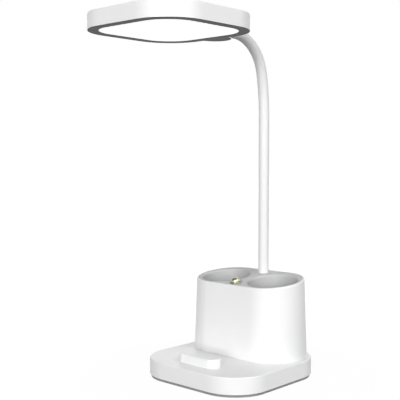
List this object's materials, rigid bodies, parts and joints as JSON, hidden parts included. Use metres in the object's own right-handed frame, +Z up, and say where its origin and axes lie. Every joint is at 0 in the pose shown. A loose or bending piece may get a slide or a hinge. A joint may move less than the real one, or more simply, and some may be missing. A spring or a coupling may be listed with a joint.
{
  "type": "table lamp",
  "caption": "White LED table lamp with a flat rounded-square head on a flexible neck, over a pen holder with cups and a phone stop on a weighted base.",
  "frame": {"origin": "centre of the flat underside of the foot pad, on the table, under the middle of the base", "axes": "+Z up; -Y to the front, where the phone stop is; +X to the right seen from the front"},
  "size_m": [0.1388, 0.2217, 0.3522],
  "materials": {
    "white_plastic": "smooth satin white",
    "white_rubber": "smooth matt white",
    "grey_plastic": "matt light grey",
    "dark_plastic": "matt dark grey",
    "black_rubber": "matt black",
    "milky_plastic": "milky white diffuser",
    "champagne_metal": "polished pale gold plating",
    "green_board": "solder-masked board",
    "white_board": "white solder-masked light board",
    "battery_wrap": "shrink wrap",
    "steel": "zinc-plated steel"
  },
  "bodies": {
    "base": {"base_plate": "dark_plastic", "base_shell": "white_plastic", "battery_pack": "battery_wrap", "button_bezel": "champagne_metal", "button_switch": "dark_plastic", "charge_socket": "steel", "circuit_board": "green_board", "counterweight": "steel", "foot_pad": "black_rubber", "holder_insert": "grey_plastic", "holder_screw_1": "steel", "holder_screw_2": "steel", "holder_screw_3": "steel", "holder_screw_4": "steel", "holder_shell": "white_plastic", "neck_core_0": "steel", "neck_ferrule_lower": "steel", "neck_nut": "steel", "neck_post": "steel", "neck_sleeve_0": "white_rubber", "neck_washer": "steel", "phone_stop": "white_plastic", "plate_screw_1": "steel", "plate_screw_2": "steel", "plate_screw_3": "steel", "plate_screw_4": "steel", "stop_screw_1": "steel", "stop_screw_2": "steel", "switch_board": "green_board"},
    "button": {"button_cap": "champagne_metal", "button_plunger": "dark_plastic"},
    "neck_1": {"neck_sleeve_1": "white_rubber", "neck_core_1": "steel"},
    "neck_2": {"neck_sleeve_2": "white_rubber", "neck_core_2": "steel"},
    "neck_3": {"neck_sleeve_3": "white_rubber", "neck_core_3": "steel"},
    "neck_4": {"neck_sleeve_4": "white_rubber", "neck_core_4": "steel"},
    "neck_5": {"neck_sleeve_5": "white_rubber", "neck_core_5": "steel"},
    "neck_6": {"neck_sleeve_6": "white_rubber", "neck_core_6": "steel"},
    "neck_7": {"neck_sleeve_7": "white_rubber", "neck_core_7": "steel"},
    "head": {"neck_sleeve_8": "white_rubber", "neck_core_8": "steel", "neck_ferrule_upper": "steel", "hub_nut": "steel", "head_housing": "white_plastic", "head_bezel": "dark_plastic", "diffuser": "milky_plastic", "led_board": "white_board", "led_screw_1": "steel", "led_screw_2": "steel", "led_screw_3": "steel", "led_screw_4": "steel"}
  },
  "joints": [
    {"name": "neck_bend_1", "type": "hinge", "parent": "base", "child": "neck_1", "pos_m": [0, 0.0534, 0.1126], "axis": [1, 0, 0], "range_deg": [-15, 15]},
    {"name": "neck_sway_1", "type": "hinge", "parent": "neck_1", "child": "neck_2", "pos_m": [0, 0.0534, 0.14842], "axis": [0, -1, 0], "range_deg": [-15, 15]},
    {"name": "neck_bend_2", "type": "hinge", "parent": "neck_2", "child": "neck_3", "pos_m": [0, 0.0534, 0.18423], "axis": [1, 0, 0], "range_deg": [-15, 15]},
    {"name": "neck_sway_2", "type": "hinge", "parent": "neck_3", "child": "neck_4", "pos_m": [0, 0.0534, 0.22004], "axis": [0, -1, 0], "range_deg": [-15, 15]},
    {"name": "neck_bend_3", "type": "hinge", "parent": "neck_4", "child": "neck_5", "pos_m": [0, 0.0534, 0.25585], "axis": [1, 0, 0], "range_deg": [-15, 15]},
    {"name": "neck_sway_3", "type": "hinge", "parent": "neck_5", "child": "neck_6", "pos_m": [0, 0.05177, 0.2916], "axis": [0, -0.9913, -0.1314], "range_deg": [-15, 15]},
    {"name": "neck_bend_4", "type": "hinge", "parent": "neck_6", "child": "neck_7", "pos_m": [0, 0.04229, 0.3258], "axis": [1, 0, 0], "range_deg": [-15, 15]},
    {"name": "neck_sway_4", "type": "hinge", "parent": "neck_7", "child": "head", "pos_m": [0, 0.01312, 0.34514], "axis": [0, -0.1123, -0.9937], "range_deg": [-15, 15]},
    {"name": "button_press", "type": "slide", "parent": "base", "child": "button", "axis": [0, 0.1044, -0.9945], "range_m": [0, 0.0008], "stiffness_N_per_m": 1500}
  ],
  "couplings": [
    {"joint": "neck_bend_2", "follows": "neck_bend_1", "ratio": 1},
    {"joint": "neck_sway_2", "follows": "neck_sway_1", "ratio": 1},
    {"joint": "neck_bend_3", "follows": "neck_bend_1", "ratio": 1},
    {"joint": "neck_sway_3", "follows": "neck_sway_1", "ratio": 1},
    {"joint": "neck_bend_4", "follows": "neck_bend_1", "ratio": 1},
    {"joint": "neck_sway_4", "follows": "neck_sway_1", "ratio": 1}
  ]
}
